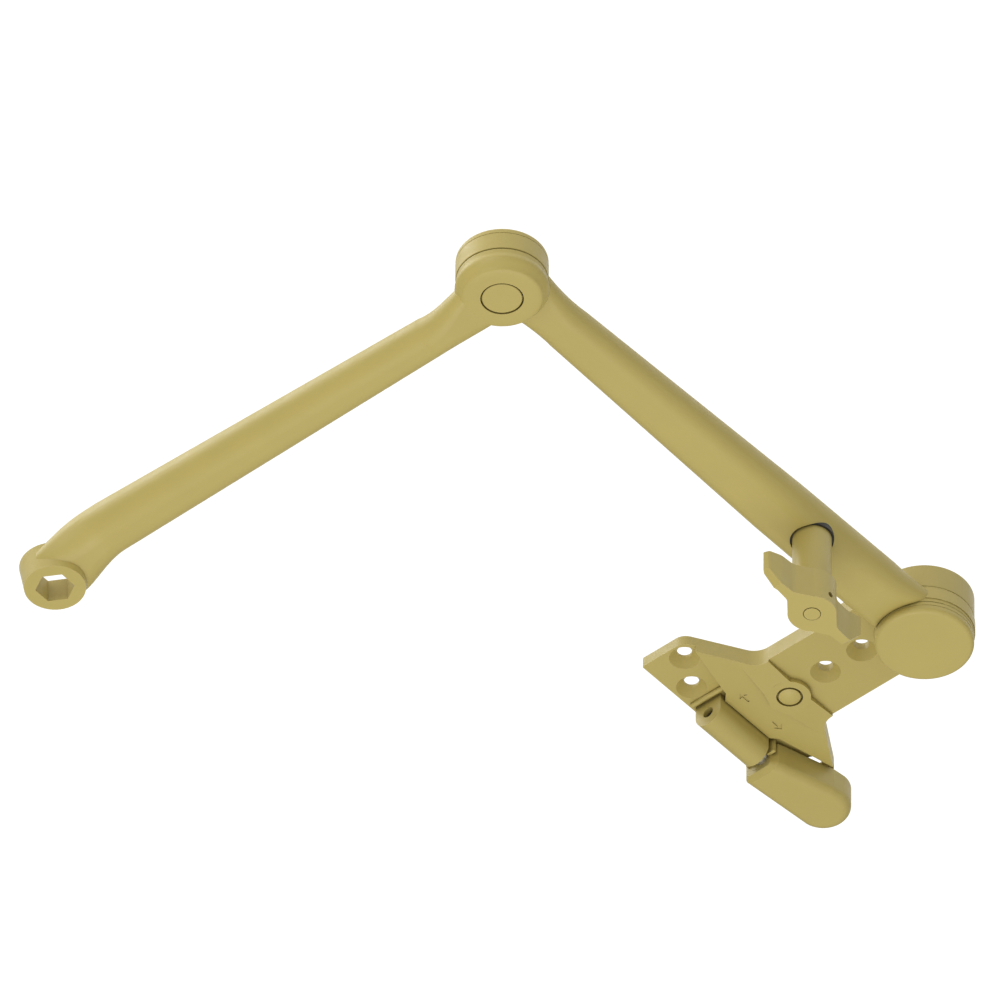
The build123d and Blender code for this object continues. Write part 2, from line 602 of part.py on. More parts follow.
def forearm_bar():
    """Tapered bar between the two eyes."""
    middle = (BAR_TOP + BAR_BOTTOM) / 2
    half = BAR_HEIGHT / 2
    end_half = BAR_END_HEIGHT / 2
    taper_start = HANDLE_DISTANCE + 20
    taper_end = FOREARM_LENGTH - 2.2 * ELBOW_RING_RADIUS
    neck = loft([
        forearm_section(EYE_RADIUS * 0.7, BAR_HALF_WIDTH + 0.3 * EYE_FLARE, EYE_HEIGHT / 2 - 0.2, middle),
        forearm_section(EYE_RADIUS + 6, BAR_HALF_WIDTH, half - 1.6, middle),
        forearm_section(EYE_RADIUS + 15, BAR_HALF_WIDTH, half, middle),
    ])
    straight = loft([
        forearm_section(EYE_RADIUS + 15, BAR_HALF_WIDTH, half, middle),
        forearm_section(taper_start, BAR_HALF_WIDTH - 0.2, half, middle),
    ])
    taper = loft([
        forearm_section(taper_start, BAR_HALF_WIDTH - 0.2, half, middle),
        forearm_section(taper_end, BAR_END_HALF_WIDTH, end_half, middle),
    ])
    root = loft([
        forearm_section(taper_end, BAR_END_HALF_WIDTH, end_half, middle),
        forearm_section(
            FOREARM_LENGTH - ELBOW_RING_RADIUS - 9, BAR_END_HALF_WIDTH + 0.1 * EYE_FLARE,
            end_half - 0.9, middle),
        forearm_section(
            FOREARM_LENGTH - ELBOW_RING_RADIUS, BAR_END_HALF_WIDTH + 0.5 * EYE_FLARE,
            end_half - 1.9, middle),
        forearm_section(
            FOREARM_LENGTH - 0.6 * ELBOW_RING_RADIUS, BAR_END_HALF_WIDTH + EYE_FLARE, EYE_HEIGHT / 2 - 0.2,
            middle),
    ])
    return neck + straight + taper + root


def forearm():
    """Forged forearm with both eyes and the pocket for the hold-open mechanism."""
    pivot_eye = turned(0, 0, EYE_RADIUS, EYE_BOTTOM, EYE_TOP)
    band = EYE_BAND_HEIGHT / 2
    pivot_eye += post(0, 0, EYE_BAND_RADIUS, EYE_MID - band, EYE_MID + band)
    elbow_x, elbow_y = ELBOW_AT
    elbow_eye = turned(elbow_x, elbow_y, ELBOW_RING_RADIUS, EYE_BOTTOM, EYE_TOP)
    swept = CLEAR + max(PLATE_HALF_WIDTH, CAP_RADIUS)
    elbow_swept = CLEAR + max(ELBOW_CAP_RADIUS, MAIN_EYE_RADIUS)
    bar = forearm_bar()
    above = (EYE_TOP, 0.0)
    below = (EYE_BOTTOM - 3 * EYE_HEIGHT, EYE_BOTTOM)
    for low, high in (above, below):
        bar -= post(0, 0, swept, low, high)
        bar -= post(elbow_x, elbow_y, elbow_swept, low, high)
    solid = bar + pivot_eye + elbow_eye
    solid -= post(0, 0, BUSH_OUTER, EYE_BOTTOM - CUT, EYE_TOP + CUT)
    solid -= post(elbow_x, elbow_y, STUD_RADIUS + RUN + ELBOW_BUSH_WALL, EYE_BOTTOM - CUT, EYE_TOP + CUT)
    solid -= post(elbow_x, elbow_y, ELBOW_WASHER_RADIUS + SLIDE, EYE_BOTTOM - CUT, elbow_washer_top())
    solid -= mechanism_pocket()
    return solid - handle_hole() - cover_recess()


def mechanism_pocket():
    """Guide for the plunger and the follower, with the plunger's hole to the pivot eye."""
    nose_hole = rod_y(0, EYE_MID, NOSE_RADIUS + SLIDE, -POCKET_START - CUT, -DRUM_RADIUS)
    x = (-POCKET_HALF_WIDTH, POCKET_HALF_WIDTH)
    guide = block(x, (-HANDLE_DISTANCE + CAM_LOW, -POCKET_START), (POCKET_FLOOR, POCKET_ROOF))
    window = block(x, (-POCKET_WINDOW_END, -POCKET_START), (POCKET_ROOF - CUT, BAR_TOP + CUT))
    return nose_hole + guide + window


def handle_hole():
    """Holes for the thumb turn's shaft, cam, top journal and clip."""
    x, y = HANDLE_AT
    hole = post(x, y, HANDLE_HOLE_RADIUS, BAR_BOTTOM - 4 * CUT, HANDLE_BUSH_TOP)
    hole += post(x, y, CAM_CAVITY_RADIUS, HANDLE_BUSH_TOP - CUT, POCKET_ROOF)
    hole += post(x, y, JOURNAL_RADIUS + RUN, POCKET_ROOF - CUT, BAR_TOP + CUT)
    return hole + post(x, y, 6.2, BAR_TOP - 2.0, BAR_TOP + CUT)


def cover_recess():
    """Seat for the mechanism cover, with the slot that its tongue hooks in, and the screw hole."""
    x = (-COVER_HALF_WIDTH, COVER_HALF_WIDTH)
    seat = block(x, (-POCKET_WINDOW_END, -COVER_START), (COVER_BOTTOM, BAR_TOP + CUT))
    slot = block(
        (-POCKET_HALF_WIDTH, POCKET_HALF_WIDTH), (-POCKET_WINDOW_END - COVER_TONGUE, -POCKET_WINDOW_END),
        (COVER_BOTTOM, COVER_BOTTOM + COVER_THICKNESS / 2),
    )
    return seat + slot + cover_screw()


def mechanism_cover():
    """Steel cover over the mechanism pocket, held by a tongue and one screw."""
    x = (-COVER_HALF_WIDTH, COVER_HALF_WIDTH)
    cover = block(x, (-POCKET_WINDOW_END, -COVER_START), (COVER_BOTTOM, COVER_TOP))
    cover += block(
        (-POCKET_HALF_WIDTH, POCKET_HALF_WIDTH), (-POCKET_WINDOW_END - COVER_TONGUE, -POCKET_WINDOW_END),
        (COVER_BOTTOM, COVER_BOTTOM + COVER_THICKNESS / 2),
    )
    return cover - cover_screw()


def cover_screw():
    """Short countersunk screw, flush in the cover."""
    y = -COVER_SCREW_AT
    head_depth = 1.4
    head = Pos(0, y, COVER_TOP - head_depth / 2) * Cone(1.4, 2.6, head_depth)
    shank = post(0, y, 1.4, COVER_BOTTOM - 2.2, COVER_TOP - head_depth)
    return head + shank


def pivot_bush():
    """Bronze bush in the pivot eye, with a window for the plunger's nose."""
    bush = ring(0, 0, DRUM_RADIUS + RUN, BUSH_OUTER, EYE_BOTTOM, EYE_TOP)
    return bush - rod_y(0, EYE_MID, NOSE_RADIUS + SLIDE, -BUSH_OUTER - CUT, 0)


def elbow_bush():
    """Bronze bush in the elbow eye."""
    x, y = ELBOW_AT
    inner = STUD_RADIUS + RUN
    return ring(x, y, inner, inner + ELBOW_BUSH_WALL, elbow_washer_top(), EYE_TOP)


def handle_bush():
    """Bush that the thumb turn's shaft turns in."""
    x, y = HANDLE_AT
    low = BAR_BOTTOM + HANDLE_BUSH_RECESS
    return ring(x, y, SHAFT_RADIUS + RUN, HANDLE_HOLE_RADIUS, low, HANDLE_BUSH_TOP)


# ---------------------------------------------------------------- plunger, follower and roller
def detent_plunger():
    """Sliding block with the forked nose that carries the roller, and a tail that guides the spring."""
    nose_tip = ROLLER_REST - 1.7
    nose = rod_y(0, EYE_MID, NOSE_RADIUS, -PLUNGER_FRONT - CUT, -nose_tip)
    body = block((-SLIDE_HALF, SLIDE_HALF), (-PLUNGER_BACK, -PLUNGER_FRONT), (SLIDE_BOTTOM, SLIDE_TOP))
    tail = rod_y(0, EYE_MID, TAIL_RADIUS, -FOLLOWER_FRONT - 2.0, -PLUNGER_BACK)
    half = ROLLER_HEIGHT / 2 + SLIDE
    fork = block(
        (-NOSE_RADIUS - CUT, NOSE_RADIUS + CUT),
        (-ROLLER_REST - ROLLER_RADIUS - CLEAR, -nose_tip + CUT), (EYE_MID - half, EYE_MID + half),
    )
    return nose + body + tail - fork - roller_pin()


def roller_pin():
    """Pin pressed in the fork."""
    return post(0, -ROLLER_REST, ROLLER_PIN_RADIUS, EYE_MID - 3.6, EYE_MID + 3.6)


def detent_roller():
    """Hardened roller that drops in the drum's notches."""
    half = ROLLER_HEIGHT / 2
    return ring(0, -ROLLER_REST, ROLLER_PIN_RADIUS + RUN, ROLLER_RADIUS, EYE_MID - half, EYE_MID + half)


def cam_follower():
    """Block that the cam pushes. It drives the plunger through the detent spring."""
    body = block(
        (-SLIDE_HALF, SLIDE_HALF), (-FOLLOWER_BACK, -FOLLOWER_FRONT), (SLIDE_BOTTOM, SLIDE_TOP))
    return body - rod_y(0, EYE_MID, TAIL_RADIUS + CLEAR, -FOLLOWER_FRONT - 9.0, -FOLLOWER_FRONT + CUT)


def detent_spring():
    """Coil spring between the follower and the plunger."""
    length = FOLLOWER_FRONT - PLUNGER_BACK - 2 * RUN
    axis = Plane(origin=(0, -FOLLOWER_FRONT + RUN, EYE_MID), x_dir=(1, 0, 0), z_dir=(0, 1, 0))
    return coil(axis, TAIL_RADIUS + 1.6, 1.3, length, 4)


# ---------------------------------------------------------------- thumb turn
def cam_outline():
    """Cam whose reach along its follower grows evenly over a quarter turn."""
    rate = FOLLOWER_TRAVEL / (pi / 2)
    points = []
    for step in range(-1, 11):
        angle = radians(90 - 10 * step)
        reach = CAM_LOW + rate * radians(10 * step)
        points.append((
            reach * cos(angle) + rate * sin(angle), reach * sin(angle) - rate * cos(angle)))
    flank = Spline(*points)
    return make_face([flank, Line(points[-1], (0, 0)), Line((0, 0), points[0])])


def handle_shaft():
    """Shaft of the thumb turn: spigot, visible length, cam and top journal in one."""
    x, y = HANDLE_AT
    shoulder = HANDLE_BUSH_TOP - FACE_GAP
    solid = post(x, y, SPIGOT_RADIUS, HUB_BOTTOM - 0.2, HUB_TOP)
    solid += post(x, y, SHAFT_RADIUS, HUB_TOP - HUB_SOCKET_DEPTH, shoulder)
    cam_top = POCKET_ROOF - FACE_GAP
    solid += Pos(x, y, shoulder) * extrude(cam_outline(), cam_top - shoulder)
    solid += post(x, y, CAM_LOW - 0.4, shoulder, cam_top)
    solid += post(x, y, JOURNAL_RADIUS, cam_top - CUT, BAR_TOP - 0.4)
    clip = clip_low()
    return solid - ring(x, y, JOURNAL_RADIUS - 0.6, JOURNAL_RADIUS + CUT, clip, clip + 0.8)


def clip_low():
    """Underside of the clip in its counterbore."""
    return BAR_TOP - 2.0 + FACE_GAP


def shaft_clip():
    """Retaining clip on the shaft's top journal."""
    x, y = HANDLE_AT
    inner = JOURNAL_RADIUS - 0.6 + RUN
    return open_ring(x, y, inner, 5.6, clip_low(), clip_low() + 0.8, 3.0)


def wing_plan():
    """Plan of one wing, pointing along -Y from the hub's axis, with a tip that leans to -X."""
    points = [
        (-8.2, -7.6), (-2.9, -14.2), (-2.1, -22.5), (-4.0, 1.5 - WING_REACH),
        (-3.2, -WING_REACH), (-0.3, 0.9 - WING_REACH), (2.1, -WING_BREAK), (2.5, -16.0),
        (7.8, -8.0), (0, 0),
    ]
    radii = [0, 4.0, 8.0, 0.4, 0.4, 1.6, 8.0, 6.0, 0, 0]
    return make_face(FilletPolyline(*points, radius=radii, close=True))


def thumb_turn():
    """Hub with two wings whose lower edges rise towards the tips."""
    x, y = HANDLE_AT
    solid = post(0, 0, HUB_RADIUS, HUB_BOTTOM, HUB_TOP)
    wing = Pos(0, 0, HUB_BOTTOM) * extrude(wing_plan(), HUB_HEIGHT)
    rise = HUB_HEIGHT - WING_TIP_HEIGHT
    slope = rise / (WING_REACH - WING_BREAK)
    far = WING_REACH + 5.0
    relief = Polyline(
        (-WING_BREAK, HUB_BOTTOM), (-far, HUB_BOTTOM + slope * (far - WING_BREAK)),
        (-far, HUB_BOTTOM - CUT), (-WING_BREAK, HUB_BOTTOM - CUT), close=True)
    side = Plane(origin=(-WING_REACH, 0, 0), x_dir=(0, 1, 0), z_dir=(1, 0, 0))
    wing -= extrude(side * make_face(relief), 2 * WING_REACH)
    solid += wing + Rot(0, 0, 180) * wing
    solid -= post(0, 0, SHAFT_RADIUS, HUB_TOP - HUB_SOCKET_DEPTH, HUB_TOP + CUT)
    solid -= post(0, 0, SPIGOT_RADIUS, HUB_BOTTOM - CUT, HUB_TOP)
    solid -= post(0, 0, SPIGOT_RADIUS + EDGE, HUB_BOTTOM - CUT, HUB_BOTTOM + 2 * EDGE)
    solid = Pos(x, y, 0) * solid
    return solid - rod_x(y, HUB_BOTTOM + SET_SCREW_UP, SET_SCREW_RADIUS, x, x + HUB_RADIUS + CUT)


def handle_set_screw():
    """Set screw that locks the hub on the spigot."""
    x, y = HANDLE_AT
    z = HUB_BOTTOM + SET_SCREW_UP
    screw = rod_x(y, z, SET_SCREW_RADIUS, x + SPIGOT_RADIUS, x + HUB_RADIUS - 1.4)
    key = Plane(origin=(x + HUB_RADIUS - 1.4, y, z), x_dir=(0, 1, 0), z_dir=(-1, 0, 0))
    return screw - extrude(key * RegularPolygon(0.85, 6), 1.6)


# ---------------------------------------------------------------- elbow
def elbow_washer_top():
    """Top of the washer that is let in the forearm's lower face."""
    return EYE_BOTTOM + ELBOW_WASHER_THICKNESS


def elbow_stud():
    """Stud staked in the main arm, which turns in the forearm's bush."""
    x, y = ELBOW_AT
    low = MAIN_EYE_BOTTOM
    stud = post(x, y, STUD_RADIUS, low, EYE_TOP)
    head = post(x, y, STAKE_HEAD_RADIUS, low, low + STAKE_HEAD_HEIGHT)
    head = fillet(head.edges().group_by(Axis.Z)[0], 0.6)
    end = post(x, y, STUD_END_RADIUS, EYE_TOP, ELBOW_CAP_TOP - 1.0)
    low_groove = ELBOW_CAP_BOTTOM
    groove = ring(x, y, STUD_END_RADIUS - 1.0, STUD_RADIUS, low_groove, low_groove + RING_THICKNESS)
    return stud + head + end - groove


def elbow_washer():
    """Thin thrust washer between the two arms."""
    x, y = ELBOW_AT
    return ring(x, y, STUD_RADIUS + RUN, ELBOW_WASHER_RADIUS, EYE_BOTTOM, elbow_washer_top())


def elbow_ring():
    """Retaining ring on the elbow stud, inside the cap."""
    x, y = ELBOW_AT
    inner = STUD_END_RADIUS - 1.0 + RUN
    return open_ring(
        x, y, inner, inner + RING_WIDTH, ELBOW_CAP_BOTTOM, ELBOW_CAP_BOTTOM + RING_THICKNESS, 5.0)


def elbow_cap():
    """Cap pressed on the elbow stud's upper end."""
    x, y = ELBOW_AT
    solid = post(x, y, ELBOW_CAP_RADIUS, ELBOW_CAP_BOTTOM, ELBOW_CAP_TOP)
    solid = fillet(solid.edges().group_by(Axis.Z)[-1], ELBOW_CAP_EDGE)
    solid = fillet(solid.edges().group_by(Axis.Z)[0], EDGE)
    room = STUD_END_RADIUS + RING_WIDTH
    solid -= post(x, y, room, ELBOW_CAP_BOTTOM - CUT, ELBOW_CAP_BOTTOM + RING_THICKNESS + 0.3)
    return solid - post(x, y, STUD_END_RADIUS, ELBOW_CAP_BOTTOM - CUT, ELBOW_CAP_TOP - 1.0)


# ---------------------------------------------------------------- main arm
def main_section(distance, half_width, half_height, z):
    """One cross-section of the main arm, looking towards the socket."""
    x, y = ELBOW_AT
    plane = Plane(origin=(x - distance, y, z), x_dir=(0, -1, 0), z_dir=(-1, 0, 0))
    return oval(plane, half_width, half_height)


def main_bar():
    """Tapered bar that steps down to the socket through an S-bend."""
    near_w, near_h = MAIN_BAR_START
    far_w, far_h = MAIN_BAR_END
    bar_start = 2.0 * MAIN_EYE_RADIUS
    bend_start = MAIN_ARM_LENGTH - 2 * SOCKET_TOP_RADIUS
    end_w = SOCKET_TOP_RADIUS - 0.8
    root = loft([
        main_section(0.45 * MAIN_EYE_RADIUS, near_w + EYE_FLARE, near_h - 3.7, MAIN_EYE_TOP - near_h + 2.7),
        main_section(
            0.95 * MAIN_EYE_RADIUS, near_w + 0.6 * EYE_FLARE, near_h - 1.9, MAIN_EYE_TOP - near_h + 1.5),
        main_section(
            1.4 * MAIN_EYE_RADIUS, near_w + 0.1 * EYE_FLARE, near_h - 0.5, MAIN_BAR_Z + 0.4),
        main_section(bar_start, near_w, near_h, MAIN_BAR_Z),
    ])
    bar = loft([
        main_section(bar_start, near_w, near_h, MAIN_BAR_Z),
        main_section(bend_start, far_w, far_h, MAIN_BAR_Z),
    ])
    drop = MAIN_BAR_Z - (SOCKET_MID + BEND_END_RISE)
    bend = loft([
        main_section(bend_start, far_w, far_h, MAIN_BAR_Z),
        main_section(
            MAIN_ARM_LENGTH - 1.5 * SOCKET_TOP_RADIUS, far_w + 0.5, far_h + 0.1, MAIN_BAR_Z - 0.12 * drop),
        main_section(
            MAIN_ARM_LENGTH - 0.95 * SOCKET_TOP_RADIUS, end_w - 0.9, far_h - 0.6, MAIN_BAR_Z - 0.46 * drop),
        main_section(
            MAIN_ARM_LENGTH - 0.5 * SOCKET_TOP_RADIUS, end_w, 0.72 * far_h, MAIN_BAR_Z - 0.82 * drop),
        main_section(MAIN_ARM_LENGTH - 0.1 * SOCKET_TOP_RADIUS, end_w, 0.54 * far_h, MAIN_BAR_Z - drop),
    ])
    return root + bar + bend


def main_eye():
    """Elbow eye of the main arm: a slightly waisted wall over a ball-like end."""
    x, y = ELBOW_AT
    width, height = MAIN_EYE_DOME
    r = MAIN_EYE_RADIUS
    neck = r - 0.7
    waist = (MAIN_EYE_TOP - MAIN_EYE_BOTTOM - height) / 2
    wall = Spline(
        (neck, 0, MAIN_EYE_TOP - EDGE), (neck - 0.1, 0, MAIN_EYE_TOP - waist),
        (r, 0, MAIN_EYE_BOTTOM + height), (r - 0.29 * width, 0, MAIN_EYE_BOTTOM + 0.29 * height),
        (r - width, 0, MAIN_EYE_BOTTOM), tangents=((0, 0, -1), (-1, 0, 0)),
    )
    edges = Polyline(
        (r - width, 0, MAIN_EYE_BOTTOM), (0, 0, MAIN_EYE_BOTTOM), (0, 0, MAIN_EYE_TOP),
        (neck - EDGE, 0, MAIN_EYE_TOP), (neck, 0, MAIN_EYE_TOP - EDGE))
    return Pos(x, y, 0) * revolve(make_face([wall, *edges.edges()]), Axis.Z)


def main_arm():
    """Forged main arm with the elbow eye and the hexagonal pinion socket."""
    x, y = ELBOW_AT
    elbow_eye = main_eye()
    socket_x = x - MAIN_ARM_LENGTH
    socket = Pos(socket_x, y, SOCKET_MID) * Cone(SOCKET_BOTTOM_RADIUS, SOCKET_TOP_RADIUS, SOCKET_HEIGHT)
    bar = main_bar() - block(
        (socket_x - 40, x + 40), (y - 40, y + 40), (MAIN_EYE_TOP, MAIN_EYE_TOP + 10))
    bar -= block(
        (socket_x - 40, socket_x + 15), (y - 40, y + 40), (SOCKET_BOTTOM - 20, SOCKET_BOTTOM))
    solid = bar + elbow_eye + socket
    solid -= post(x, y, STUD_RADIUS, MAIN_EYE_BOTTOM - CUT, MAIN_EYE_TOP + CUT)
    solid -= post(
        x, y, STAKE_RECESS_RADIUS, MAIN_EYE_BOTTOM - 20, MAIN_EYE_BOTTOM + STAKE_HEAD_HEIGHT)
    hexagon = Rot(0, 0, 30) * RegularPolygon(HEX_ACROSS_FLATS / 2, 6, major_radius=False)
    hole = Pos(socket_x, y, SOCKET_BOTTOM - CUT) * extrude(hexagon, SOCKET_HEIGHT + 20)
    return solid - hole


# ---------------------------------------------------------------- write the pieces
PIECES = {
    "soffit_plate": soffit_plate,
    "stop_body": stop_body,
    "body_rivet": body_rivet,
    "barrel_ring": barrel_ring,
    "cushion_spring": cushion_spring,
    "spring_seat": spring_seat,
    "preload_screw": preload_screw,
    "stop_lug": stop_lug,
    "lug_flange": lug_flange,
    "stop_rod": stop_rod,
    "lug_pin": lug_pin,
    "pivot_stud": pivot_stud,
    "hold_open_drum": hold_open_drum,
    "pivot_washer": pivot_washer,
    "pivot_ring": pivot_ring,
    "pivot_cap": pivot_cap,
    "forearm": forearm,
    "pivot_bush": pivot_bush,
    "elbow_bush": elbow_bush,
    "handle_bush": handle_bush,
    "mechanism_cover": mechanism_cover,
    "cover_screw": cover_screw,
    "detent_plunger": detent_plunger,
    "roller_pin": roller_pin,
    "detent_roller": detent_roller,
    "cam_follower": cam_follower,
    "detent_spring": detent_spring,
    "handle_shaft": handle_shaft,
    "shaft_clip": shaft_clip,
    "thumb_turn": thumb_turn,
    "handle_set_screw": handle_set_screw,
    "elbow_stud": elbow_stud,
    "elbow_washer": elbow_washer,
    "elbow_ring": elbow_ring,
    "elbow_cap": elbow_cap,
    "main_arm": main_arm,
}

if __name__ == "__main__":
    os.makedirs("parts", exist_ok=True)
    for node, make in PIECES.items():
        export_step(make(), f"parts/{node}.step")
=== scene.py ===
import json

import bpy
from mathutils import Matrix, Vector


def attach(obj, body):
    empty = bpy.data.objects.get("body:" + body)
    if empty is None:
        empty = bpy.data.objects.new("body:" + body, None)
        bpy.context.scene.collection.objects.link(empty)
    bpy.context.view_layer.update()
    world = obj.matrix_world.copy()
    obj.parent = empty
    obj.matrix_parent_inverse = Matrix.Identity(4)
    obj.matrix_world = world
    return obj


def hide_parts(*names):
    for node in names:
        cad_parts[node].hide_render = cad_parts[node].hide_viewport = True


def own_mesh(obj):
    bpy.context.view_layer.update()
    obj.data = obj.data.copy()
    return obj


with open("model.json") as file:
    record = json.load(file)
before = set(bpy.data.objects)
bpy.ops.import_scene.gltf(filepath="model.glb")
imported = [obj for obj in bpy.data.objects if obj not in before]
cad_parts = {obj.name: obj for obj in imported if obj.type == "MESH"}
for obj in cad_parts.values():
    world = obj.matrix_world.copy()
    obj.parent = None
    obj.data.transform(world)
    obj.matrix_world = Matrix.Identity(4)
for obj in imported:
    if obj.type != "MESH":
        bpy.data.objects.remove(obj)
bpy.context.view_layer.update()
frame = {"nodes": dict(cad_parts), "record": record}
record = frame["record"]
nodes = frame["nodes"]


# ------------------------------------------------------------------ materials
def new_material(name, colour, roughness, metallic=0.0):
    """A Principled material, with its node tree and its shader."""
    material = bpy.data.materials.new(name)
    material.use_nodes = True
    tree = material.node_tree
    shader = tree.nodes["Principled BSDF"]
    shader.inputs["Base Color"].default_value = (*colour, 1.0)
    shader.inputs["Roughness"].default_value = roughness
    shader.inputs["Metallic"].default_value = metallic
    return material, tree, shader


def noise(tree, scale, detail=2.0, stretch=(1.0, 1.0, 1.0)):
    """A noise texture in object space, in metres."""
    place = tree.nodes.new("ShaderNodeTexCoord")
    mapping = tree.nodes.new("ShaderNodeMapping")
    mapping.inputs["Scale"].default_value = stretch
    texture = tree.nodes.new("ShaderNodeTexNoise")
    texture.inputs["Scale"].default_value = scale
    texture.inputs["Detail"].default_value = detail
    tree.links.new(place.outputs["Object"], mapping.inputs["Vector"])
    tree.links.new(mapping.outputs["Vector"], texture.inputs["Vector"])
    return texture.outputs["Fac"]


def spread(tree, value, low, high):
    """Maps a 0..1 texture to low..high."""
    ramp = tree.nodes.new("ShaderNodeMapRange")
    ramp.inputs["From Min"].default_value = 0.3
    ramp.inputs["From Max"].default_value = 0.7
    ramp.inputs["To Min"].default_value = low
    ramp.inputs["To Max"].default_value = high
    tree.links.new(value, ramp.inputs["Value"])
    return ramp.outputs["Result"]


def bump(tree, shader, value, distance, strength=1.0, under=None):
    """Raises the surface by a height in metres, on top of an earlier bump if there is one."""
    node = tree.nodes.new("ShaderNodeBump")
    node.inputs["Distance"].default_value = distance
    node.inputs["Strength"].default_value = strength
    tree.links.new(value, node.inputs["Height"])
    if under is not None:
        tree.links.new(under, node.inputs["Normal"])
    tree.links.new(node.outputs["Normal"], shader.inputs["Normal"])
    return node.outputs["Normal"]


def tint(tree, shader, value, dark, light):
    """Lets the base colour drift between two tones, and returns it."""
    mix = tree.nodes.new("ShaderNodeMix")
    mix.data_type = "RGBA"
    mix.inputs["A"].default_value = (*dark, 1.0)
    mix.inputs["B"].default_value = (*light, 1.0)
    tree.links.new(value, mix.inputs["Factor"])
    tree.links.new(mix.outputs["Result"], shader.inputs["Base Color"])
    return mix.outputs["Result"]


def laid_over(tree, shader, base, mask, colour):
    """Covers the base colour with another one where the mask is high."""
    mix = tree.nodes.new("ShaderNodeMix")
    mix.data_type = "RGBA"
    mix.inputs["B"].default_value = (*colour, 1.0)
    tree.links.new(mask, mix.inputs["Factor"])
    tree.links.new(base, mix.inputs["A"])
    tree.links.new(mix.outputs["Result"], shader.inputs["Base Color"])
    return mix.outputs["Result"]


def times(tree, first, second):
    """Multiplies two values."""
    node = tree.nodes.new("ShaderNodeMath")
    node.operation = "MULTIPLY"
    tree.links.new(first, node.inputs[0])
    tree.links.new(second, node.inputs[1])
    return node.outputs["Value"]


def edge_mask(tree, radius, most):
    """High along outside edges: there a rounded normal leaves the face's own normal."""
    rounded = tree.nodes.new("ShaderNodeBevel")
    rounded.samples = 4
    rounded.inputs["Radius"].default_value = radius
    own = tree.nodes.new("ShaderNodeNewGeometry")
    match = tree.nodes.new("ShaderNodeVectorMath")
    match.operation = "DOT_PRODUCT"
    tree.links.new(rounded.outputs["Normal"], match.inputs[0])
    tree.links.new(own.outputs["Normal"], match.inputs[1])
    ramp = tree.nodes.new("ShaderNodeMapRange")
    ramp.inputs["From Min"].default_value = 0.97
    ramp.inputs["From Max"].default_value = 0.80
    ramp.inputs["To Max"].default_value = most
    tree.links.new(match.outputs["Value"], ramp.inputs["Value"])
    return ramp.outputs["Result"]


def painted_crevice_shade(tree, reach, most):
    """High in grooves and inside corners, where little light gets in; the colour laid over there is
    painted shade.
    """
    node = tree.nodes.new("ShaderNodeAmbientOcclusion")
    node.samples = 8
    node.inputs["Distance"].default_value = reach
    ramp = tree.nodes.new("ShaderNodeMapRange")
    ramp.inputs["From Min"].default_value = 0.85
    ramp.inputs["From Max"].default_value = 0.35
    ramp.inputs["To Max"].default_value = most
    tree.links.new(node.outputs["AO"], ramp.inputs["Value"])
    return ramp.outputs["Result"]


PAINT = (0.465, 0.374, 0.108)
# Lighter colour for outside edges: partly paint wear, partly painted highlight.
WEAR_AND_HIGHLIGHT_PAINT = (0.62, 0.52, 0.22)
# Darker colour for grooves and inside corners: painted shade.
PAINTED_SHADE = (0.19, 0.14, 0.03)
EDGE_WEAR_AND_HIGHLIGHT = 0.0005
CREVICE_SHADE_REACH = 0.003


def brass_paint(name, painted_shade_factor, peel):
    """Satin gold lacquer: a faint orange peel and a slightly uneven sheen. Castings show more of both.
    Outside edges are lighter, partly as wear and partly as painted highlight; grooves and inside corners
    are darker as painted shade; the second argument darkens the whole colour as painted shade.
    """
    material, tree, shader = new_material(name, PAINT, 0.46)
    shader.inputs["Specular IOR Level"].default_value = 0.42
    dark = [c * painted_shade_factor * 0.965 for c in PAINT]
    light = [c * painted_shade_factor * 1.035 for c in PAINT]
    base = tint(tree, shader, noise(tree, 60.0, 4.0), dark, light)
    patches = spread(tree, noise(tree, 260.0, 5.0), 0.25, 1.0)
    # Outside edges are lightened in patches: partly wear, partly painted highlight.
    wear_and_highlight = times(tree, edge_mask(tree, EDGE_WEAR_AND_HIGHLIGHT, 0.5), patches)
    base = laid_over(tree, shader, base, wear_and_highlight, WEAR_AND_HIGHLIGHT_PAINT)
    # Grooves and inside corners are darkened as painted shade.
    laid_over(tree, shader, base, painted_crevice_shade(tree, CREVICE_SHADE_REACH, 0.75), PAINTED_SHADE)
    tree.links.new(spread(tree, noise(tree, 140.0, 4.0), 0.42, 0.52), shader.inputs["Roughness"])
    wave = bump(tree, shader, noise(tree, 220.0, 1.0), 0.00006, 0.4 * peel)
    bump(tree, shader, noise(tree, 1500.0, 2.0), 0.00001, 0.5 * peel, wave)
    return material


def zinc_steel():
    """Zinc-plated steel with fine turning marks."""
    material, tree, shader = new_material("zinc_steel", (0.62, 0.62, 0.6), 0.32, 1.0)
    tint(tree, shader, noise(tree, 90.0, 4.0), (0.55, 0.55, 0.53), (0.68, 0.68, 0.66))
    tree.links.new(spread(tree, noise(tree, 300.0, 4.0), 0.24, 0.42), shader.inputs["Roughness"])
    bump(tree, shader, noise(tree, 600.0, 3.0, (1.0, 1.0, 14.0)), 0.00001, 0.5)
    return material


def bronze():
    """Porous sintered bronze."""
    material, tree, shader = new_material("bronze", (0.5, 0.3, 0.13), 0.45, 1.0)
    tint(tree, shader, noise(tree, 180.0, 6.0), (0.38, 0.22, 0.09), (0.58, 0.36, 0.17))
    tree.links.new(spread(tree, noise(tree, 900.0, 4.0), 0.36, 0.58), shader.inputs["Roughness"])
    bump(tree, shader, noise(tree, 2600.0, 3.0), 0.00002, 0.6)
    return material


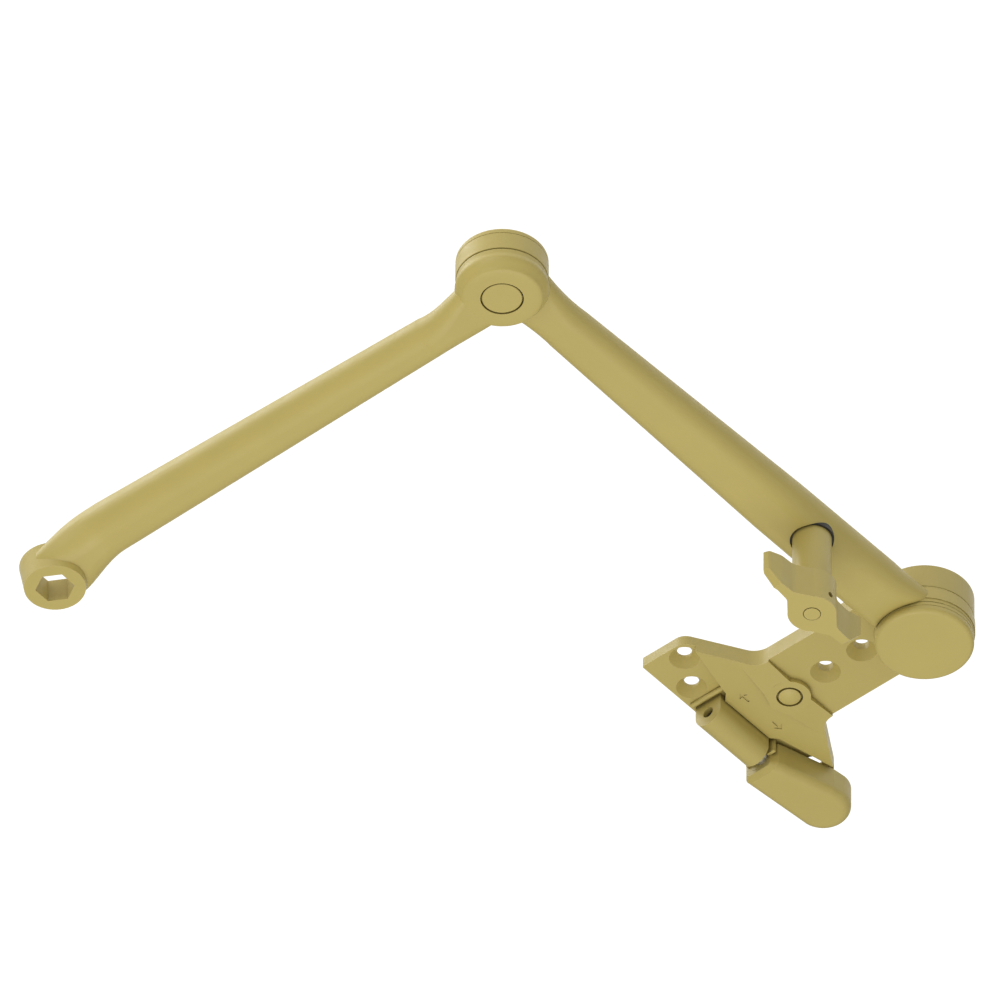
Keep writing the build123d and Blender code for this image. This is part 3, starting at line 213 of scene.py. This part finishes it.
def spring_steel():
    """Dark oiled spring steel with drawn streaks. Its very dark tone is partly painted shade: it makes
    the handle bush read as a shaded gap.
    """
    material, tree, shader = new_material("spring_steel", (0.03, 0.028, 0.022), 0.45, 0.3)
    tint(tree, shader, noise(tree, 120.0, 5.0), (0.018, 0.016, 0.012), (0.045, 0.041, 0.033))
    tree.links.new(spread(tree, noise(tree, 500.0, 3.0), 0.36, 0.52), shader.inputs["Roughness"])
    bump(tree, shader, noise(tree, 1400.0, 2.0, (1.0, 6.0, 1.0)), 0.00001, 0.5)
    return material


finishes = {
    "brass_paint": brass_paint("brass_paint", 1.0, 1.0),
    "zinc_steel": zinc_steel(),
    "bronze": bronze(),
    "spring_steel": spring_steel(),
}
# The castings get paint darkened to 0.95 as painted shade, for the shade the forearm and handle throw on
# the shoe.
SHADED_CASTINGS = ("stop_body", "stop_lug", "soffit_plate")
shaded_cast_paint = brass_paint("brass_paint_cast_painted_shade", 0.95, 2.0)
slot_of = {s["node"]: s["material_slot"] for s in record["subparts"]}
for name, obj in nodes.items():
    obj.data.materials.clear()
    obj.data.materials.append(shaded_cast_paint if name in SHADED_CASTINGS else finishes[slot_of[name]])


def squeezed_spring(node, body):
    """Shows a CAD spring as a copy of its coil that moves with the given body."""
    coil = bpy.data.objects.new(node + "_coil", nodes[node].data.copy())
    bpy.context.scene.collection.objects.link(coil)
    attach(coil, body)
    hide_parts(node)
    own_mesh(coil)


squeezed_spring("detent_spring", "follower")
squeezed_spring("cushion_spring", "shoe")


# ------------------------------------------------------------------ stage, camera and light
FLOOR_REACH = 12.0
FLOOR_HEIGHT = -1.3
FLOOR_GREY = (0.62, 0.62, 0.61)
LIT_POINT = Vector((-0.13, -0.15, -0.03))
LOOK_AT = Vector((-0.1067, -0.1743, 0.0))
TO_CAMERA = Vector((0.4545, -0.5417, -0.7071)).normalized()
CAMERA_DISTANCE = 1.2
CAMERA_REACH = 20.0
VIEW_WIDTH = 0.4566

floor_mesh = bpy.data.meshes.new("floor")
corners = [(-FLOOR_REACH, -FLOOR_REACH), (FLOOR_REACH, -FLOOR_REACH),
           (FLOOR_REACH, FLOOR_REACH), (-FLOOR_REACH, FLOOR_REACH)]
floor_mesh.from_pydata([(x, y, FLOOR_HEIGHT) for x, y in corners], [], [(0, 1, 2, 3)])
floor = bpy.data.objects.new("floor", floor_mesh)
bpy.context.scene.collection.objects.link(floor)
floor_mesh.materials.append(new_material("floor", FLOOR_GREY, 0.8)[0])

world = bpy.data.worlds.new("studio")
world.use_nodes = True
sky = world.node_tree
background = sky.nodes["Background"]
direction = sky.nodes.new("ShaderNodeTexCoord")
split = sky.nodes.new("ShaderNodeSeparateXYZ")
height = sky.nodes.new("ShaderNodeMapRange")
height.inputs["From Min"].default_value = 0.15
height.inputs["From Max"].default_value = 0.55
height.inputs["To Min"].default_value = 0.12
height.inputs["To Max"].default_value = 1.1
sky.links.new(direction.outputs["Generated"], split.inputs["Vector"])
sky.links.new(split.outputs["Z"], height.inputs["Value"])
sky.links.new(height.outputs["Result"], background.inputs["Color"])
background.inputs["Strength"].default_value = 1.0
bpy.context.scene.world = world


def area_light(name, direction, distance, size, power):
    """A square soft light that faces the object's middle and stays out of the picture."""
    data = bpy.data.lights.new(name, "AREA")
    data.shape = "SQUARE"
    data.size = size
    data.energy = power
    light = bpy.data.objects.new(name, data)
    light.visible_camera = False
    way = Vector(direction).normalized()
    light.location = LIT_POINT + way * distance
    light.rotation_euler = way.to_track_quat("Z", "Y").to_euler()
    bpy.context.scene.collection.objects.link(light)


area_light("key", (0.22, -0.95, 0.05), 1.8, 1.0, 9.5)
area_light("side", (-0.4545, -0.5417, 0.7071), 1.5, 0.8, 7.0)
area_light("under", (0.0, 0.0, -1.0), 1.15, 0.9, 5.4)

camera_data = bpy.data.cameras.new("camera")
camera_data.type = "ORTHO"
camera_data.ortho_scale = VIEW_WIDTH
camera_data.clip_end = CAMERA_REACH
camera = bpy.data.objects.new("camera", camera_data)
camera.location = LOOK_AT + TO_CAMERA * CAMERA_DISTANCE
camera.rotation_euler = TO_CAMERA.to_track_quat("Z", "Y").to_euler()
bpy.context.scene.collection.objects.link(camera)
bpy.context.scene.camera = camera
bpy.context.scene.view_settings.view_transform = "Standard"
